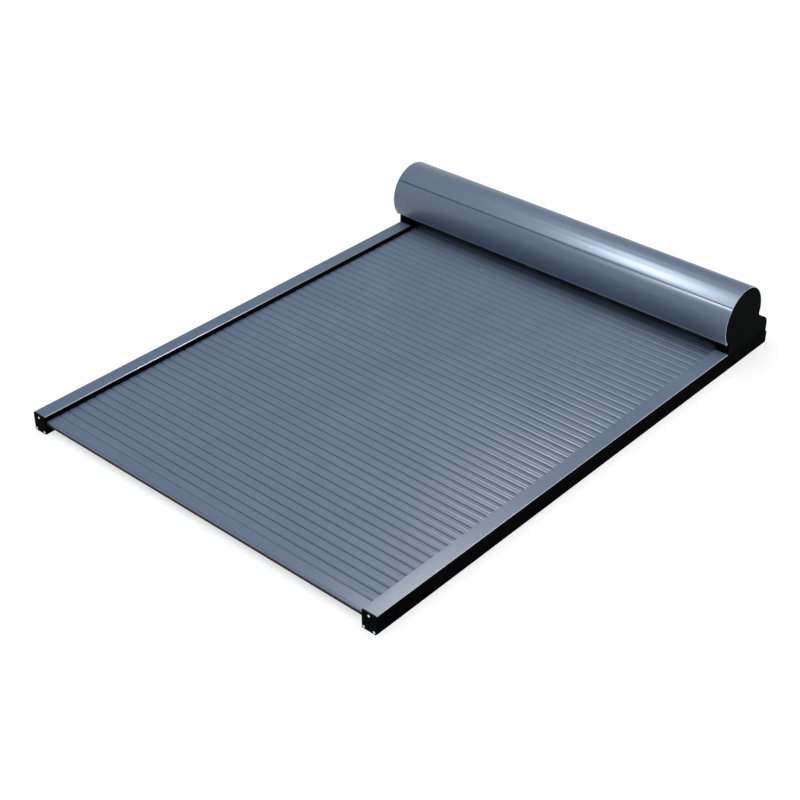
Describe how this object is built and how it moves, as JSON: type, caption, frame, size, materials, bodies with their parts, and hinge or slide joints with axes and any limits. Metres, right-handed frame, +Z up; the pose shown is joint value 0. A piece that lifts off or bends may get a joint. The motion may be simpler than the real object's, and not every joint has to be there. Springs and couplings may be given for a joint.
{
  "type": "outdoor roller blind",
  "caption": "Outdoor roller blind of interlocking metal slats for a roof window, with side rails, a bottom bar and a round casing over a motor-driven axle.",
  "frame": {"origin": "middle of the footprint, on the underside of the side rails", "axes": "+X across the shutter to the right, +Y from the bottom bar's end towards the casing, +Z up out of the window"},
  "size_m": [1.14, 1.564, 0.222],
  "materials": {
    "slate_lacquer": "satin slate-blue lacquer on aluminium",
    "black_lacquer": "black lacquer on extruded aluminium",
    "black_plastic": "black moulded plastic, fine grain",
    "grey_nylon": "grey nylon",
    "black_rubber": "black rubber",
    "bristle_fibre": "black polypropylene bristles",
    "bright_steel": "bright steel",
    "galvanised_steel": "galvanised sheet steel",
    "motor_housing": "light grey painted tube",
    "plain_aluminium": "plain rolled aluminium"
  },
  "bodies": {
    "frame": {"bearing_holder": "grey_nylon", "bottom_panel": "plain_aluminium", "bracket_screws": "bright_steel", "brush_seal_left": "bristle_fibre", "brush_seal_right": "bristle_fibre", "cap_screws": "bright_steel", "cheek_left": "black_plastic", "cheek_right": "black_plastic", "cheek_screws": "black_lacquer", "cover_screws": "bright_steel", "front_cap_left": "black_plastic", "front_cap_right": "black_plastic", "front_cover": "slate_lacquer", "glide_strip_left": "grey_nylon", "glide_strip_right": "grey_nylon", "hanger_straps": "galvanised_steel", "idler_bearing": "bright_steel", "inlet_guide_left": "black_plastic", "inlet_guide_right": "black_plastic", "lead_grommet": "black_rubber", "lip_brush": "bristle_fibre", "motor_body": "motor_housing", "motor_bracket": "galvanised_steel", "motor_head": "motor_housing", "rail_cover_left": "slate_lacquer", "rail_cover_right": "slate_lacquer", "rail_left": "black_lacquer", "rail_right": "black_lacquer", "rear_cap_left": "black_plastic", "rear_cap_right": "black_plastic", "rear_profile": "black_lacquer", "top_cover": "slate_lacquer"},
    "curtain": {"slats_01_05": "slate_lacquer", "slats_06_10": "slate_lacquer", "slats_11_15": "slate_lacquer", "slats_16_20": "slate_lacquer", "slats_21_25": "slate_lacquer", "slats_26_30": "slate_lacquer", "slats_31_35": "slate_lacquer", "slats_36_40": "slate_lacquer", "slats_41_45": "slate_lacquer", "slats_46_50": "slate_lacquer", "slat_end_clips": "grey_nylon", "bottom_bar": "slate_lacquer", "bar_seal": "black_rubber", "bar_end_plugs": "black_plastic"},
    "axle": {"axle_tube": "galvanised_steel", "drive_wheel": "grey_nylon", "motor_shaft": "bright_steel", "motor_crown": "grey_nylon", "idler_plug": "grey_nylon", "idler_pin": "bright_steel"}
  },
  "joints": [
    {"name": "curtain_slide", "type": "slide", "parent": "frame", "child": "curtain", "axis": [0, 1, 0], "range_m": [0, 0.122], "deforming": ["hanger_straps"]},
    {"name": "axle_turn", "type": "hinge", "parent": "frame", "child": "axle", "pos_m": [0, 0.64, 0.135], "axis": [1, 0, 0], "range_deg": [0, 219]}
  ],
  "couplings": [
    {"joint": "axle_turn", "follows": "curtain_slide", "rad_per_m": 31.25}
  ]
}
